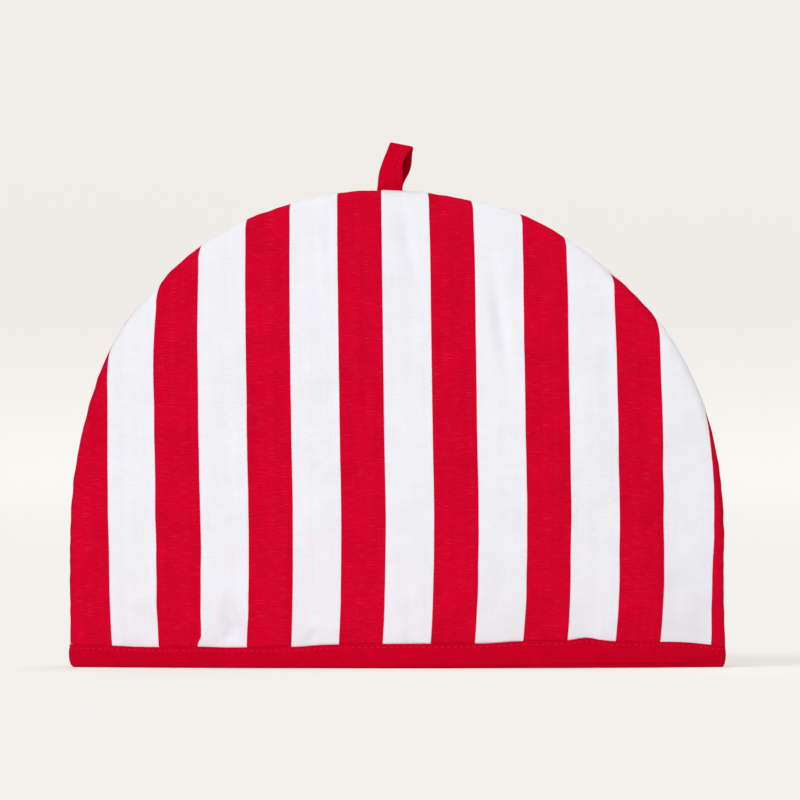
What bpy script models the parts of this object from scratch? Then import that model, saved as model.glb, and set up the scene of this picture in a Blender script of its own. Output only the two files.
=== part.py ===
"""A tea cosy of striped cotton over wadding, standing open on its bound hem.

Two padded panels are sewn together along a domed seam and left open at the hem, where one
folded strip of binding holds their edges. A loop of tape is caught in the seam at the top.
All sizes are in metres and +Z is up. The front faces -Y, and the origin lies on the surface
that the cosy stands on, under the middle of its mouth.
"""

import math

import bmesh
import bpy
import numpy as np

MM = 0.001
CLEAR = 0.3 * MM  # between two pieces that touch

# The dome, seen from the front
HALF_WIDTH = 175.6 * MM
HEIGHT = 257.0 * MM
SIDE_TOP = 54.5 * MM  # the sides are upright below this
RISE_POWER = 2.56
SIDE_POWER = {"right": 1.785, "left": 2.123}  # the left shoulder is the fuller one

# How far each panel's middle stands out from the seam's plane
MOUTH_BULGE = 36.0 * MM
BULGE_POWER = 1.3

# The seam: each panel rolls over its edge into a groove, and a flat land follows inside
SEAM_HALF_GAP = CLEAR / 2
ROLL_RADIUS = 5.5 * MM
ROLL_END = math.radians(130)
LAND_DEPTH = 7.0 * MM
INNER_ROLL_RADIUS = 2.0 * MM

# The hem wanders a little in and out of its curve, in its own way on each side
HEM_WAVE = 1.5 * MM
HEM_WAVE_LENGTH = 118.0 * MM
HEM_WAVE_PHASE = {-1: 0.7, 1: 2.6}
HEM_WAVE_LOW = 15.0 * MM
HEM_WAVE_HIGH = 90.0 * MM

# The hem: the wadding is pressed flat between the two legs of the binding
TAPE = 1.2 * MM  # the folded binding's own thickness
BINDING_HEIGHT = 12.5 * MM
PRESSED_HALF = 1.8 * MM  # half of a panel's thickness there
CORNER_RADIUS = 5.7 * MM  # of the pressed panel's middle line, at the side seams
CORNER_CENTRE = HALF_WIDTH - 1.0 * MM - CORNER_RADIUS - PRESSED_HALF
PANEL_FOOT = TAPE + CLEAR
PRESSED_TOP = BINDING_HEIGHT + 2.0 * MM
PRESSED_FADE = 16.0 * MM

# The hanging loop
LOOP_X = -4.1 * MM
LOOP_WIDTH = 13.4 * MM
LOOP_TAPE = 1.5 * MM
LOOP_TOP = 24.0 * MM  # above the dome
LOOP_ROOT = 6.5 * MM  # caught in the seam
LOOP_SPREAD = 4.2 * MM
LOOP_SWAY = 6.5 * MM  # to the right, at the top
LOOP_TILT = math.radians(12)
LOOP_TWIST = math.radians(16)
LOOP_ROOM_MARGIN = 1.2 * MM
LOOP_ROOM_FADE = 4.0 * MM

# Stripes
STRIPE_PITCH = 50.0 * MM
RED_WIDTH = 24.3 * MM
FRONT_RED_START = 18.2 * MM
BACK_RED_START = 31.6 * MM

RED = (0.63, 0.006, 0.024, 1.0)
WHITE = (0.86, 0.86, 0.90, 1.0)
BINDING_RED = (0.56, 0.004, 0.017, 1.0)

# Where the panel's box is cut: across it, up it, and on both near the edge, where it rolls
FACE_SHARE = 0.8
ACROSS_STATIONS = [0.08 * step for step in range(1, 11)]
ROLL_STATIONS = [FACE_SHARE + 0.04 * step for step in range(1, 5)]
LOOP_STATIONS = [-0.062, -0.02, 0.02, 0.042]
UP_STATIONS = [0.02, 0.035, 0.055, 0.08, 0.11, 0.15, 0.2, 0.26, 0.32, 0.4, 0.5, 0.6, 0.7, 0.8]


def smooth_step(value, low, high):
    """0 at low and 1 at high, with a smooth rise between them."""
    share = min(max((value - low) / (high - low), 0.0), 1.0)
    return share * share * (3 - 2 * share)


def half_seam(side, steps=1500):
    """(share of its length, x, z) up one side of the seam, from the hem to the top."""
    turn = np.linspace(0.0, math.pi / 2, steps)
    rise = SIDE_TOP + (HEIGHT - SIDE_TOP) * np.sin(turn) ** (2 / RISE_POWER)
    x = np.concatenate([[HALF_WIDTH], HALF_WIDTH * np.cos(turn) ** (2 / SIDE_POWER[side])])
    z = np.concatenate([[PANEL_FOOT], rise])
    along = np.concatenate([[0.0], np.cumsum(np.hypot(np.diff(x), np.diff(z)))])
    return along / along[-1], x, z


def whole_seam():
    """(share, x, z) over the seam: 0 at the hem's right end, 0.5 at the top, 1 at the left."""
    share, x, z = half_seam("right")
    left_share, left_x, left_z = half_seam("left")
    share = np.concatenate([share / 2, (1 - left_share / 2)[::-1]])
    return share, np.concatenate([x, -left_x[::-1]]), np.concatenate([z, left_z[::-1]])


SEAM = whole_seam()


def seam_point(share):
    """(x, z) of the seam's outermost line at this share of its length."""
    shares, x, z = SEAM
    return float(np.interp(share, shares, x)), float(np.interp(share, shares, z))


def half_width(z, side):
    """The dome's half-width at a height, on its right or left side."""
    rise = min(max((z - SIDE_TOP) / (HEIGHT - SIDE_TOP), 0.0), 1.0)
    return HALF_WIDTH * (1 - rise**RISE_POWER) ** (1 / SIDE_POWER[side])


def bulge(x, z):
    """How far a panel stands out at a place inside the dome's outline; 0 along the outline."""
    across = abs(x) / max(half_width(z, "right" if x > 0 else "left"), CLEAR)
    up = 1 - min(z / HEIGHT, 1.0) ** BULGE_POWER
    return MOUTH_BULGE * up * max(1 - across * across, 0.0)


def seam_frame(share, step=0.004):
    """(x, z, distance from the foot's middle to the tangent, the panel's lean at its edge)."""
    x, z = seam_point(share)
    x0, z0 = seam_point(max(share - step, 0.0))
    x1, z1 = seam_point(min(share + step, 1.0))
    length = math.hypot(x1 - x0, z1 - z0)
    reach = (x * (z1 - z0) - (z - PANEL_FOOT) * (x1 - x0)) / length
    inner = 0.985
    rise = bulge(inner * x, PANEL_FOOT + inner * (z - PANEL_FOOT))
    return x, z, reach, math.atan2(rise, (1 - inner) * reach)


def dome_coordinates(u, v):
    """(share of the way from the foot's middle to the seam, share of the seam's length)."""
    ring = max(abs(u), v)
    if ring == 0:
        return 0.0, 0.5
    if v > abs(u):
        return ring, 0.5 - 0.25 * u / v
    return ring, 0.25 * v / u if u > 0 else 1 - 0.25 * v / -u


HEM_LEAN = math.atan(2 * MOUTH_BULGE / CORNER_CENTRE)
HEM_FACE_END = CORNER_CENTRE + CORNER_RADIUS * math.sin(HEM_LEAN)


def hem_line(across, corner, offset):
    """(x, distance from the seam's plane) of the pressed hem's middle line, moved out by offset.

    across runs from 0 at the front's middle to 1 where the corner's arc starts, and corner
    from 0 there to 1 at the side seam.
    """
    if corner > 0:
        turn = HEM_LEAN + (math.pi / 2 - HEM_LEAN) * corner
        radius = CORNER_RADIUS + offset
        return CORNER_CENTRE + radius * math.sin(turn), radius * math.cos(turn)
    slope = 2 * MOUTH_BULGE * across / HEM_FACE_END
    length = math.hypot(1, slope)
    out = CORNER_RADIUS * math.cos(HEM_LEAN) + MOUTH_BULGE * (1 - across * across)
    return across * HEM_FACE_END + offset * slope / length, out + offset / length


def hem_wave(x, z, facing):
    """How far the cloth wanders outwards near the hem; facing is -1 in front and 1 behind."""
    middle = max(1 - (x / CORNER_CENTRE) ** 2, 0.0)
    turn = 2 * math.pi * x / HEM_WAVE_LENGTH + HEM_WAVE_PHASE[facing]
    return HEM_WAVE * middle * math.sin(turn) * (1 - smooth_step(z, HEM_WAVE_LOW, HEM_WAVE_HIGH))


def loop_room(x, z):
    """How far the seam is held open on each side of its plane by the tape's two ends."""
    if z < HEIGHT - LOOP_ROOT - LAND_DEPTH:
        return SEAM_HALF_GAP
    past = abs(x - LOOP_X) - LOOP_WIDTH / 2 - LOOP_ROOM_MARGIN
    return SEAM_HALF_GAP + (LOOP_TAPE + CLEAR) * (1 - smooth_step(past, 0, LOOP_ROOM_FADE))


def panel_point(u, v, outer, facing):
    """(x, distance from the seam's plane, z) of a point on a panel's outer or inner face."""
    ring, share = dome_coordinates(u, v)
    face = min(ring / FACE_SHARE, 1.0)
    roll = max((ring - FACE_SHARE) / (1 - FACE_SHARE), 0.0)
    edge_x, edge_z, reach, lean = seam_frame(share)
    end = ROLL_END if outer else math.pi / 2
    radius = ROLL_RADIUS if outer else INNER_ROLL_RADIUS
    turn = lean + (end - lean) * roll
    land = 0.0 if outer else LAND_DEPTH + ROLL_RADIUS * (1 - math.sin(ROLL_END))
    inset = land + radius * (1 - math.sin(turn))
    out = SEAM_HALF_GAP + radius * (math.cos(turn) - math.cos(end))
    if roll == 0:
        out += bulge(face * edge_x, PANEL_FOOT + face * (edge_z - PANEL_FOOT))
    scale = face * (1 - inset / reach)
    x = scale * edge_x
    z = PANEL_FOOT + scale * (edge_z - PANEL_FOOT)
    pressed = 1 - smooth_step(z, PRESSED_TOP, PRESSED_TOP + PRESSED_FADE)
    if pressed > 0:
        across = 1.0 if roll else face * abs(edge_x) / HALF_WIDTH
        hem_x, hem_out = hem_line(across, roll, PRESSED_HALF if outer else -PRESSED_HALF)
        x += pressed * (math.copysign(hem_x, x) - x)
        out += pressed * (hem_out - out)
    out += hem_wave(x, z, facing)
    return x, max(out, loop_room(x, z)), z


def stations_across():
    """Every station between the box's left edge, at -1, and its right edge, at 1."""
    right = ACROSS_STATIONS + ROLL_STATIONS
    return sorted(LOOP_STATIONS + right + [-station for station in right])


def cut_box():
    """A box of u, depth and v, cut across and up at the panel's stations."""
    mesh = bmesh.new()
    bmesh.ops.create_cube(mesh, size=2)
    for vertex in mesh.verts:
        vertex.co.z = (vertex.co.z + 1) / 2
    cuts = [((u, 0, 0), (1, 0, 0)) for u in stations_across()]
    cuts += [((0, 0, v), (0, 0, 1)) for v in UP_STATIONS + ROLL_STATIONS]
    for place, normal in cuts:
        geometry = mesh.verts[:] + mesh.edges[:] + mesh.faces[:]
        bmesh.ops.bisect_plane(mesh, geom=geometry, plane_co=place, plane_no=normal, dist=1e-6)
    return mesh


def add_mesh_object(name, mesh, material, collection):
    """A new object of the collection, made from a bmesh, shaded smooth but for sharp edges."""
    data = bpy.data.meshes.new(name)
    mesh.to_mesh(data)
    mesh.free()
    data.shade_smooth()
    data.set_sharp_from_angle(angle=math.radians(50))
    data.materials.append(material)
    made = bpy.data.objects.new(name, data)
    collection.objects.link(made)
    return made


def add_panel(name, facing, material, collection):
    """One padded panel: facing is -1 for the front, whose outside faces -Y, and 1 for the back."""
    mesh = cut_box()
    for vertex in mesh.verts:
        u, side, v = vertex.co
        x, out, z = panel_point(u, v, side * facing > 0, facing)
        vertex.co = (x, facing * out, z)
    return add_mesh_object(name, mesh, material, collection)


def hem_loop():
    """The hem's middle line all round the mouth, as (x, y), anticlockwise from the left.

    It turns at the panels' own stations, so that the binding runs level with them.
    """
    half = []
    for u in [-1] + stations_across() + [1]:
        corner = max((abs(u) - FACE_SHARE) / (1 - FACE_SHARE), 0.0)
        x, out = hem_line(min(abs(u) / FACE_SHARE, 1.0), corner, 0)
        half.append((math.copysign(x, u), out))
    front = [(x, -out - hem_wave(x, 0, -1)) for x, out in half]
    back = [(x, out + hem_wave(x, 0, 1)) for x, out in half[1:-1]]
    return front + back[::-1]


def binding_section():
    """The folded strip's closed outline, as (out from the middle line, height)."""
    inside = PRESSED_HALF + CLEAR
    outside = inside + TAPE
    soft = TAPE / 4
    low = TAPE * 0.8
    leg = [
        (outside - 3 * soft, 0.0),
        (outside - soft, low / 4),
        (outside, low),
        (outside, BINDING_HEIGHT - 2 * soft),
        (outside - soft, BINDING_HEIGHT),
        (inside + soft, BINDING_HEIGHT),
        (inside, BINDING_HEIGHT - soft),
        (inside, TAPE),
    ]
    return [(-out, height) for out, height in leg] + leg[::-1]


def poly_curve(name, points, dimensions):
    """A closed curve of straight segments."""
    data = bpy.data.curves.new(name, "CURVE")
    data.dimensions = dimensions
    spline = data.splines.new("POLY")
    spline.points.add(len(points) - 1)
    for point, (a, b) in zip(spline.points, points):
        point.co = (a, b, 0.0, 1.0)
    spline.use_cyclic_u = True
    return data


def add_binding(material, collection, guides):
    """The binding: its section swept round the hem."""
    section = bpy.data.objects.new("binding_section", poly_curve("section", binding_section(), "2D"))
    section.hide_render = True
    section.display_type = "WIRE"
    guides.objects.link(section)
    path = poly_curve("hem_binding", hem_loop(), "2D")
    path.fill_mode = "NONE"
    path.bevel_mode = "OBJECT"
    path.bevel_object = section
    path.materials.append(material)
    made = bpy.data.objects.new("hem_binding", path)
    collection.objects.link(made)
    return made


def loop_line(along):
    """(height over the dome, distance from the seam's plane) of the tape's middle.

    along runs from -1, the front end, over 0, the fold at the top, to 1, the back end.
    """
    fold_share = 0.12
    fold_radius = (LOOP_TAPE + CLEAR) / 2
    shoulder = LOOP_TOP - LOOP_TAPE / 2 - fold_radius
    down = abs(along)
    if down < fold_share:
        turn = math.pi / 2 * down / fold_share
        return shoulder + fold_radius * math.cos(turn), fold_radius * math.sin(turn)
    height = shoulder - (down - fold_share) / (1 - fold_share) * (shoulder + LOOP_ROOT)
    open_share = math.sin(math.pi * min(max(height / shoulder, 0.0), 1.0))
    return height, fold_radius + LOOP_SPREAD * open_share**1.15


def loop_point(across, along):
    """A point of the tape's middle surface; across runs from -1, its left edge, to 1."""
    height, out = loop_line(along)
    out = math.copysign(out, along)
    free = smooth_step(height, 0.0, LOOP_TOP / 3)
    rise = max(height, 0.0) / LOOP_TOP
    twist = LOOP_TWIST * free
    side = across * LOOP_WIDTH / 2
    x = side * math.cos(twist) + out * math.sin(twist)
    y = out * math.cos(twist) - side * math.sin(twist)
    tilt = LOOP_TILT * rise
    sway = LOOP_SWAY * rise**1.7
    return LOOP_X + sway + x * math.cos(tilt), y, HEIGHT + height - x * math.sin(tilt)


def add_loop(material, collection):
    """The hanging loop: a strip of tape folded over, with both ends in the seam."""
    mesh = bmesh.new()
    bmesh.ops.create_grid(mesh, x_segments=3, y_segments=44, size=1)
    for vertex in mesh.verts:
        vertex.co = loop_point(vertex.co.x, vertex.co.y)
    made = add_mesh_object("hanging_loop", mesh, material, collection)
    thick = made.modifiers.new("tape", "SOLIDIFY")
    thick.thickness = LOOP_TAPE
    thick.offset = 0
    return made


def plain_material(name, colour, roughness):
    """A cloth finish of one colour."""
    material = bpy.data.materials.new(name)
    material.use_nodes = True
    shader = material.node_tree.nodes["Principled BSDF"]
    shader.inputs["Base Color"].default_value = colour
    shader.inputs["Roughness"].default_value = roughness
    shader.inputs["Metallic"].default_value = 0.0
    return material


def striped_material(name, red_start):
    """Upright red stripes on white, the first of them starting at x = red_start."""
    material = plain_material(name, WHITE, 0.9)
    nodes = material.node_tree.nodes
    links = material.node_tree.links
    place = nodes.new("ShaderNodeTexCoord")
    axes = nodes.new("ShaderNodeSeparateXYZ")
    links.new(place.outputs["Object"], axes.inputs[0])
    value = axes.outputs["X"]
    steps = (
        ("SUBTRACT", red_start),
        ("FLOORED_MODULO", STRIPE_PITCH),
        ("LESS_THAN", RED_WIDTH),
    )
    for operation, number in steps:
        step = nodes.new("ShaderNodeMath")
        step.operation = operation
        step.inputs[1].default_value = number
        links.new(value, step.inputs[0])
        value = step.outputs[0]
    mix = nodes.new("ShaderNodeMix")
    mix.data_type = "RGBA"
    mix.inputs["A"].default_value = WHITE
    mix.inputs["B"].default_value = RED
    links.new(value, mix.inputs["Factor"])
    links.new(mix.outputs["Result"], nodes["Principled BSDF"].inputs["Base Color"])
    return material


def main():
    """Clears the scene and builds the cosy."""
    for old in list(bpy.data.objects):
        bpy.data.objects.remove(old)
    scene_root = bpy.context.scene.collection
    cosy = bpy.data.collections.new("tea_cosy")
    guides = bpy.data.collections.new("guides")
    scene_root.children.link(cosy)
    scene_root.children.link(guides)
    front_cloth = striped_material("front_stripe", FRONT_RED_START)
    back_cloth = striped_material("back_stripe", BACK_RED_START)
    add_panel("panel_front", -1, front_cloth, cosy)
    add_panel("panel_back", 1, back_cloth, cosy)
    add_binding(plain_material("binding_red", BINDING_RED, 0.85), cosy, guides)
    add_loop(plain_material("loop_red", BINDING_RED, 0.85), cosy)


main()
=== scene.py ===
"""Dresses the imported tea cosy: padded striped panels, a bound hem, a tape loop and their sewing.

Each sub-assembly is a class that shapes its own meshes on the cosy's common form and gives
them their finish. Everything is in metres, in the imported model's own frame: the front faces
-Y, +Z is up, and the hem stands on z = 0.
"""

from __future__ import annotations

import logging
import math
from dataclasses import dataclass
from enum import Enum
from functools import cached_property

import bpy
import numpy as np
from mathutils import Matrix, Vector


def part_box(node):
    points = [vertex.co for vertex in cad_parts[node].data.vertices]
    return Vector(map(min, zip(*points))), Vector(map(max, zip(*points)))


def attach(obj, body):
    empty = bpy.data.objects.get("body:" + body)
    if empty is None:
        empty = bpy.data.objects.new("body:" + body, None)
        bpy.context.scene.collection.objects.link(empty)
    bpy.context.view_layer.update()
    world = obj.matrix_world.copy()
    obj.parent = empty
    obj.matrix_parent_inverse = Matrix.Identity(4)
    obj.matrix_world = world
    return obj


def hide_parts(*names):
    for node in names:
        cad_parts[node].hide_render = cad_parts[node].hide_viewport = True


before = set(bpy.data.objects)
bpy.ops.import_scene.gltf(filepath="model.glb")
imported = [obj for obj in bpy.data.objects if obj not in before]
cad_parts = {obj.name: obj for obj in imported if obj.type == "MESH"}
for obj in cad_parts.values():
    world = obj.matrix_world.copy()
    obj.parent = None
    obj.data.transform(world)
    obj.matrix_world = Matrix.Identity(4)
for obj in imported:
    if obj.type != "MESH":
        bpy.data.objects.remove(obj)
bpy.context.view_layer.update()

MM = 0.001
BODY = "root"
LOG = logging.getLogger("tea_cosy")

Points = np.ndarray
Colour = tuple[float, float, float]
Span = tuple[float, float]
Band = tuple[float, float, float, float]
Rows = tuple[tuple[float, ...], ...]
Piece = bpy.types.Object
Material = bpy.types.Material
Socket = bpy.types.NodeSocket


class Side(Enum):
    """Which way a panel faces: the value is the sign of its outward Y."""

    FRONT = -1
    BACK = 1


class Face(Enum):
    """The two faces of a padded panel."""

    OUTER = "outer"
    INNER = "inner"


# How the hem wanders in its own way on each side: where its waves start, and the lift's seed
HEM_PHASE = {Side.FRONT: 0.7, Side.BACK: 2.6}
HEM_SEED = {Side.FRONT: 71, Side.BACK: 72}

# Places across the cosy and how far a line wanders there, both in millimetres: the binding's
# upper edge in front upwards, and the seam inwards
FRONT_EDGE = (
    (-176.0, -0.3), (-153.0, -0.8), (-132.0, -1.6), (-103.0, -1.1), (-92.0, -1.5), (-82.0, -1.4),
    (-52.0, -1.0), (-44.0, -0.25), (-36.0, 0.15), (0.0, 0.7), (47.0, 0.8), (63.0, 1.9), (91.0, 2.2),
    (96.0, 3.2), (101.0, 4.1), (105.0, 3.1), (109.0, 2.4), (115.0, 1.7), (147.0, 1.2), (155.0, 0.9),
    (163.0, -0.1), (176.0, -1.5),
)
SEAM_NIPS = (
    (-145.0, 0.0), (-137.0, 1.4), (-131.0, 2.3), (-125.0, 1.1), (-112.0, 0.9), (-100.0, 0.6),
    (-80.0, 0.5), (-72.0, 1.0), (-60.0, 1.0), (-45.0, 0.6), (-29.0, 0.8), (-22.0, 0.6), (-12.0, 1.2),
    (8.0, 1.4), (26.0, 1.5), (37.0, 1.25), (50.0, 0.5), (66.0, -0.4), (77.0, -0.7), (85.0, -0.1),
    (100.0, 0.4), (119.0, 0.7), (127.0, 1.1), (133.0, 0.8), (139.0, 0.4), (146.0, 0.0),
)

# Where the seam is drawn in at the left side and at the right, and how far, in millimetres
SIDE_NIPS = ((134.0, 0.8), (48.0, 0.6))

# Creases laid one by one: x, z, length, width and depth in millimetres, then the heading in degrees
# and the width that is left at the far end. A depth below 0 is a ridge.
FRONT_CREASES = (
    (-86.4, 18.0, 27.0, 5.6, 3.1, 106.0, 0.15), (-86.6, 22.5, 13.5, 3.8, 1.7, -122.0, 0.5),
    (-101.0, 13.0, 29.0, 5.6, -1.9, 75.0, 0.2), (-47.6, 12.0, 15.0, 3.4, 1.6, 66.0, 0.5),
    (-140.0, 6.0, 40.0, 7.5, -1.8, 96.0, 0.6), (-134.0, 62.0, 70.0, 7.0, 0.9, 93.0, 0.35),
    (1.5, 13.0, 15.0, 2.6, -1.2, 84.0, 0.35), (18.0, 13.0, 14.0, 2.4, -1.1, 88.0, 0.35),
    (9.0, 15.0, 34.0, 5.0, 0.8, 94.0, 0.35), (4.3, 240.0, 56.0, 5.0, 1.9, -79.0, 0.5),
    (51.0, 215.0, 68.0, 6.5, 2.1, -82.0, 0.5), (-37.0, 243.0, 34.0, 4.6, 1.8, -88.0, 0.35),
    (110.0, 222.0, 24.0, 6.0, 1.1, -62.0, 0.35), (98.0, 18.0, 14.0, 4.0, 0.3, 70.0, 0.35),
    (107.0, 16.0, 22.0, 5.0, -0.5, 78.0, 0.35),
)
BACK_CREASES = (
    (62.0, 15.0, 30.0, 6.5, 1.0, 96.0, 0.2), (-30.0, 14.0, 18.0, 4.0, 0.7, 85.0, 0.35),
    (-88.0, 15.0, 26.0, 6.0, 0.8, 80.0, 0.35), (24.0, 245.0, 60.0, 6.0, 0.6, -95.0, 0.35),
    (-70.0, 222.0, 45.0, 7.0, 0.7, -70.0, 0.35),
)

# A panel's waves: wavelength and depth in millimetres, and what is added to the panel's seed.
# Each soft one also has its slant, and how far it is drawn out upwards.
SOFT_WAVES = (
    ((78.0, 1.0, 0), (0.0, 1.0)), ((31.0, 0.42, 1), (0.0, 1.0)), ((15.0, 0.09, 6), (0.0, 1.0)),
    ((23.0, 0.22, 8), (0.05, 0.14)),
)
LINING_WAVES = (24.0, 0.35, 2)
SEAM_PUCKERS = (10.5, 0.17, 3)
SEAM_WAVES = (27.0, 0.26, 4)
HEM_GATHERS = (19.0, 0.20, 5)

# The binding's section, from its upper edge down. The edge: shares of the strip's thickness out
# and up. The groove: shares of its depth inwards, and millimetres above the stitches. The leg:
# millimetres out, and shares of the height. The fold: millimetres out, up, and further out where
# the fold stands. Within: shares of the way out to the strip's inside, of the height, and of the
# thickness up.
BOUND_EDGE = ((0.10, -0.08), (0.22, 0.0), (0.42, 0.0), (0.62, -0.14), (0.74, -0.36))
BOUND_GROOVE = ((0.35, 0.95), (0.45, 0.55), (1.0, 0.0), (0.45, -0.75), (-0.15, -1.7))
BOUND_LEG = ((0.13, 0.60), (0.20, 0.50), (0.22, 0.40))
BOUND_FOLD = (
    (0.18, 3.5, 0.08), (0.12, 2.7, 0.22), (0.08, 2.2, 0.45), (0.03, 1.85, 0.45),
    (-0.02, 1.65, -0.10), (-0.10, 1.45, -0.50), (-0.22, 1.1, -0.55), (-0.48, 0.6, -0.40),
    (-0.95, 0.2, -0.15), (-1.50, 0.0, 0.0),
)
BOUND_WITHIN = (
    (1.0, 1.0, -0.45), (1.0, 0.75, 0.0), (1.0, 0.5, 0.0), (1.0, 0.25, 0.0), (1.0, 0.0, 1.25),
    (0.5, 0.0, 1.0),
)

# The loop's tape: millimetres in from its folded edge and from its open one, and shares of half
# the thickness out. The flat part between them lies at shares of half the width, and the slit
# between the layers ends so many millimetres in.
TAPE_FOLDED_EDGE = ((0.0, 0.0), (0.12, 0.55), (0.45, 0.92))
TAPE_FLAT = (-0.85, -0.7, -0.5, -0.3, -0.1, 0.1, 0.3, 0.5, 0.7, 0.85)
TAPE_OPEN_EDGE = ((0.30, 0.95), (0.05, 0.72), (0.0, 0.45), (0.08, 0.2), (0.7, 0.06))
TAPE_SLIT = 0.8

# The tones of woven cotton: noise scales across and up, detail, the noise's range, and the shades
# that it spans. They are the slow unevenness, warps, bars, streaks and grain.
COTTON_TONES = (
    ((48.0, 70.0), 3.0, (0.25, 0.75), (0.945, 1.04)), ((1500.0, 45.0), 2.0, (0.3, 0.7), (0.975, 1.025)),
    ((210.0, 9.0), 2.0, (0.3, 0.7), (0.965, 1.035)), ((60.0, 1700.0), 2.0, (0.3, 0.7), (0.962, 1.038)),
    ((1100.0, 900.0), 1.0, (0.3, 0.7), (0.962, 1.038)),
)

# The Mix node's sockets: its factor and two colours, and the colour that comes out
MIX_INPUTS = (0, 6, 7)
MIX_RESULT = 2


def smooth_step(value: Points, low: float, high: float) -> Points:
    """A smooth rise, from 0 at low and below to 1 at high and above."""
    share = np.clip((np.asarray(value, float) - low) / (high - low), 0.0, 1.0)
    return share * share * (3.0 - 2.0 * share)


def smooth_fall(value: Points, low: float, high: float) -> Points:
    """A smooth fall, from 1 at low and below to 0 at high and above."""
    return 1.0 - smooth_step(value, low, high)


def band(value: Points, start: float, risen: float, falling: float, end: float) -> Points:
    """A smooth band: 0 at start and below, 1 from risen to falling, and 0 at end and above."""
    return smooth_step(value, start, risen) * smooth_fall(value, falling, end)


def bell(value: Points, middle: float, width: float) -> Points:
    """A round hump: 1 at the middle, and about a third a width away on both sides."""
    return np.exp(-(((np.asarray(value, float) - middle) / width) ** 2))


def unit(rows: Points) -> Points:
    """Directions brought to a length of 1."""
    return rows / np.maximum(np.linalg.norm(rows, axis=-1, keepdims=True), 1e-12)


def lengths_along(line: Points) -> Points:
    """The length from the start of a line to each of its points."""
    return np.concatenate([[0.0], np.cumsum(np.linalg.norm(np.diff(line, axis=0), axis=1))])


def wander(x: Points, stops: Rows) -> Points:
    """A smooth line through a table's stops.

    Args:
        x: places across, in metres.
        stops: places and heights, in millimetres.

    Returns:
        the heights at x, in metres.
    """
    across, heights = MM * np.array(stops).T
    near = [np.interp(x + step * MM, across, heights) for step in (-3.0, -1.5, 0.0, 1.5, 3.0)]
    return np.mean(near, axis=0)


@dataclass(frozen=True)
class Ripple:
    """Soft, uneven waves that never repeat, as in cloth over wadding."""

    wavelength: float
    depth: float
    seed: int
    waves: int = 14
    spread: float = 0.35

    def over(self, x: Points, z: Points) -> Points:
        """Waves over a surface.

        Args:
            x: places across.
            z: places up.

        Returns:
            heights, about depth at the most.
        """
        draw = np.random.default_rng(self.seed)
        total = np.zeros(np.broadcast(x, z).shape)
        for _ in range(self.waves):
            heading = draw.uniform(0.0, math.tau)
            length = self.wavelength * draw.uniform(1.0 - self.spread, 1.0 + self.spread)
            phase = draw.uniform(0.0, math.tau)
            along = x * math.cos(heading) + z * math.sin(heading)
            total = total + np.sin(math.tau * along / length + phase)
        return self.depth * total / math.sqrt(self.waves)

    def along(self, place: Points) -> Points:
        """Waves along a line."""
        return self.over(place, np.zeros_like(place))


@dataclass(frozen=True)
class Crease:
    """One soft trough in a panel, with a low lip on each side."""

    x: float
    z: float
    length: float
    width: float
    depth: float
    heading: float
    narrow_end: float
    run: Band = (-0.35, 0.2, 0.45, 1.0)
    lip: float = 0.9

    @classmethod
    def laid(cls, rows: Rows) -> tuple[Crease, ...]:
        """The creases of a table, whose first five columns are millimetres."""
        return tuple(cls(*(MM * size for size in row[:5]), *row[5:]) for row in rows)

    def over(self, x: Points, z: Points) -> Points:
        """The crease's relief.

        Args:
            x: places across.
            z: places up.

        Returns:
            heights; the trough is below 0.
        """
        turn = math.radians(self.heading)
        along = (x - self.x) * math.cos(turn) + (z - self.z) * math.sin(turn)
        across = (z - self.z) * math.cos(turn) - (x - self.x) * math.sin(turn)
        share = np.clip(along / self.length, 0.0, 1.0)
        off = across / (self.width * (1.0 - (1.0 - self.narrow_end) * share))
        ends = band(along, *(place * self.length for place in self.run))
        return -self.depth * ends * (1.0 - self.lip * off**2) * np.exp(-(off**2))


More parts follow.
